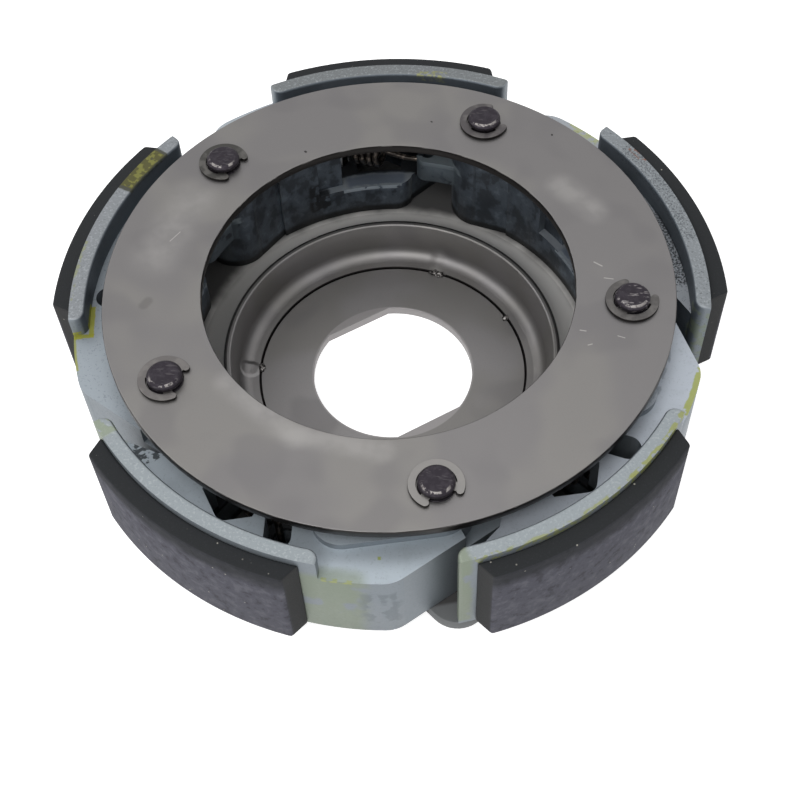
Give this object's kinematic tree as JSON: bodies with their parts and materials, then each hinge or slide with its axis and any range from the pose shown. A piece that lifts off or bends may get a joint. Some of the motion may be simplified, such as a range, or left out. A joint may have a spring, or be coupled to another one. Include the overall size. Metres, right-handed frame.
{
  "type": "centrifugal clutch",
  "caption": "Dished drive plate with pivoting friction-lined shoes, drawn in by springs, that swing out on pins to grip a drum as the shaft speeds up.",
  "frame": {"origin": "centre of the hub plate's underside, on the shaft axis", "axes": "+Z along the shaft axis from the drive plate to the ring plate, +X through the first pivot pin"},
  "size_m": [0.1469, 0.1464, 0.0378],
  "materials": {
    "plate_steel": "satin",
    "pin_steel": "satin",
    "clip_steel": "satin",
    "shoe_alloy": "cast",
    "friction_lining": "rough",
    "spring_steel": "dark"
  },
  "bodies": {
    "carrier": {"drive_plate": "plate_steel", "hub_plate": "plate_steel", "side_plate": "plate_steel", "pivot_pin_1": "pin_steel", "pivot_pin_2": "pin_steel", "pivot_pin_3": "pin_steel", "pivot_pin_4": "pin_steel", "pivot_pin_5": "pin_steel", "e_clip_1": "clip_steel", "e_clip_2": "clip_steel", "e_clip_3": "clip_steel", "e_clip_4": "clip_steel", "e_clip_5": "clip_steel"},
    "swing_shoe_1": {"shoe_1": "shoe_alloy", "lining_1": "friction_lining", "return_spring_1": "spring_steel"},
    "swing_shoe_2": {"shoe_2": "shoe_alloy", "lining_2": "friction_lining", "return_spring_2": "spring_steel"},
    "swing_shoe_3": {"shoe_3": "shoe_alloy", "lining_3": "friction_lining", "return_spring_3": "spring_steel"},
    "swing_shoe_4": {"shoe_4": "shoe_alloy", "lining_4": "friction_lining", "return_spring_4": "spring_steel"},
    "swing_shoe_5": {"shoe_5": "shoe_alloy", "lining_5": "friction_lining", "return_spring_5": "spring_steel"}
  },
  "joints": [
    {"name": "shoe_1_swing", "type": "hinge", "parent": "carrier", "child": "swing_shoe_1", "pos_m": [0.0525, 0, 0.0203], "axis": [0, 0, 1], "range_deg": [0, 3], "stiffness_Nm_per_rad": 20, "springref_deg": -11.46, "deforming": ["return_spring_1"]},
    {"name": "shoe_2_swing", "type": "hinge", "parent": "carrier", "child": "swing_shoe_2", "pos_m": [0.01622, 0.04993, 0.0203], "axis": [0, 0, 1], "range_deg": [0, 3], "stiffness_Nm_per_rad": 20, "springref_deg": -11.46, "deforming": ["return_spring_2"]},
    {"name": "shoe_3_swing", "type": "hinge", "parent": "carrier", "child": "swing_shoe_3", "pos_m": [-0.04247, 0.03086, 0.0203], "axis": [0, 0, 1], "range_deg": [0, 3], "stiffness_Nm_per_rad": 20, "springref_deg": -11.46, "deforming": ["return_spring_3"]},
    {"name": "shoe_4_swing", "type": "hinge", "parent": "carrier", "child": "swing_shoe_4", "pos_m": [-0.04247, -0.03086, 0.0203], "axis": [0, 0, 1], "range_deg": [0, 3], "stiffness_Nm_per_rad": 20, "springref_deg": -11.46, "deforming": ["return_spring_4"]},
    {"name": "shoe_5_swing", "type": "hinge", "parent": "carrier", "child": "swing_shoe_5", "pos_m": [0.01622, -0.04993, 0.0203], "axis": [0, 0, 1], "range_deg": [0, 3], "stiffness_Nm_per_rad": 20, "springref_deg": -11.46, "deforming": ["return_spring_5"]}
  ]
}
